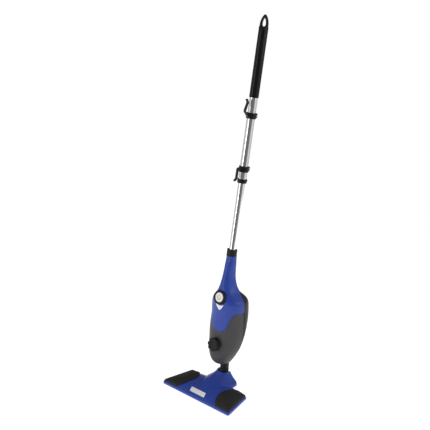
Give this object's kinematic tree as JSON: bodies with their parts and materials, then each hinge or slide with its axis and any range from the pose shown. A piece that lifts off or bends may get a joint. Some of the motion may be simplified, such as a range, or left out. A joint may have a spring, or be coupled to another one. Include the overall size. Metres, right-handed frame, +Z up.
{
  "type": "steam mop",
  "caption": "Upright steam floor mop with a triangular tilting head, a body with water tank and boiler, and a telescopic tube handle with cord hooks and a hanging loop.",
  "frame": {"origin": "on the floor, on the head's centre line, in the plane of the pad's underside", "axes": "+Z up, -Y towards the head's long front edge, +X to the right of someone who stands in front of the mop and looks along +Y"},
  "size_m": [0.2818, 0.3145, 1.1508],
  "materials": {
    "blue_cover": "glossy",
    "grey_cover": "satin",
    "black_housing": "satin",
    "dark_pad": "matt, fine texture",
    "white_face": "glossy",
    "mark_grey": "printed",
    "knob_black": "satin",
    "grip_black": "satin",
    "tube_metal": "polished",
    "steel": "zinc plated",
    "spring_steel": "plain",
    "boiler_cast": "cast",
    "element_sheath": "oxidised",
    "copper": "wound wire",
    "tank_clear": "translucent",
    "inner_plastic": "moulded",
    "board_green": "laminate",
    "hose_rubber": "silicone",
    "steam_rubber": "silicone",
    "pad_fabric": "microfibre",
    "hook_tape": "hook tape",
    "foot_rubber": "matt"
  },
  "bodies": {
    "head": {"head_cover": "blue_cover", "corner_pad_right": "dark_pad", "corner_pad_left": "dark_pad", "head_badge": "white_face", "sole_plate": "black_housing", "head_screws": "steel", "microfibre_pad": "pad_fabric", "hook_strips": "hook_tape", "heel_foot": "foot_rubber", "steam_manifold": "inner_plastic", "head_steam_pipe": "steam_rubber", "trunnion_blocks": "black_housing", "head_weight": "steel"},
    "yoke": {"tilt_knuckle": "black_housing", "tilt_pin": "steel"},
    "mop_body": {"neck": "black_housing", "swivel_pin": "steel", "lower_cover": "grey_cover", "front_cover": "blue_cover", "rear_housing": "black_housing", "body_screws": "steel", "cord_gland": "foot_rubber", "water_tank": "tank_clear", "boiler": "boiler_cast", "heating_element": "element_sheath", "thermostat": "steel", "thermal_fuse": "inner_plastic", "steam_pipe": "steam_rubber", "inlet_hose": "hose_rubber", "outlet_hose": "hose_rubber", "pump_tube": "inner_plastic", "pump_coil": "copper", "pump_frame": "steel", "control_board": "board_green", "dial_switch": "inner_plastic", "index_pointer": "white_face", "tube_collar": "black_housing", "tube_socket": "black_housing", "socket_screw": "steel", "lower_tube": "tube_metal", "lock_spring": "spring_steel"},
    "dial": {"dial_knob": "knob_black", "dial_face": "white_face", "dial_mark": "mark_grey"},
    "cap_seal": {"tank_cap_gasket": "foot_rubber"},
    "cap": {"tank_cap": "knob_black", "tank_cap_plug": "inner_plastic"},
    "plunger": {"pump_plunger": "steel"},
    "handle": {"upper_tube": "tube_metal", "ferrule": "knob_black", "grip_sleeve": "grip_black", "grip_end": "grip_black", "lower_cord_hook": "knob_black", "lower_hook_screw": "steel"},
    "button": {"height_button": "knob_black"},
    "upper_hook": {"upper_cord_hook": "knob_black", "upper_hook_screw": "steel"}
  },
  "joints": [
    {"name": "neck_tilt", "type": "hinge", "parent": "head", "child": "yoke", "pos_m": [0, 0.063, 0.026], "axis": [-1, 0, 0], "range_deg": [0, 68]},
    {"name": "neck_swivel", "type": "hinge", "parent": "yoke", "child": "mop_body", "pos_m": [0, 0.06471, 0.04593], "axis": [0, 0.9963, -0.0857], "range_deg": [-30, 30]},
    {"name": "dial_turn", "type": "hinge", "parent": "mop_body", "child": "dial", "pos_m": [0, 0.04723, 0.30939], "axis": [0, -0.9515, 0.3076], "range_deg": [-135, 135]},
    {"name": "cap_lift", "type": "slide", "parent": "mop_body", "child": "cap_seal", "axis": [0, -0.9617, 0.2742], "range_m": [0, 0.009]},
    {"name": "cap_turn", "type": "hinge", "parent": "cap_seal", "child": "cap", "pos_m": [0, 0.02259, 0.15594], "axis": [0, -0.9617, 0.2742], "range_deg": [0, 1081]},
    {"name": "plunger_slide", "type": "slide", "parent": "mop_body", "child": "plunger", "axis": [1, 0, 0], "range_m": [-0.004, 0.004], "stiffness_N_per_m": 300},
    {"name": "handle_slide", "type": "slide", "parent": "mop_body", "child": "handle", "axis": [0, -0.1932, -0.9812], "range_m": [0, 0.18]},
    {"name": "button_press", "type": "slide", "parent": "handle", "child": "button", "axis": [0, -0.9812, 0.1932], "range_m": [0, 0.0025], "stiffness_N_per_m": 800},
    {"name": "hook_turn", "type": "hinge", "parent": "handle", "child": "upper_hook", "pos_m": [0, 0.17962, 0.85924], "axis": [0, 0.1932, 0.9812], "range_deg": [0, 180]}
  ],
  "couplings": [
    {"joint": "cap_turn", "follows": "cap_lift", "rad_per_m": 2094.4}
  ]
}
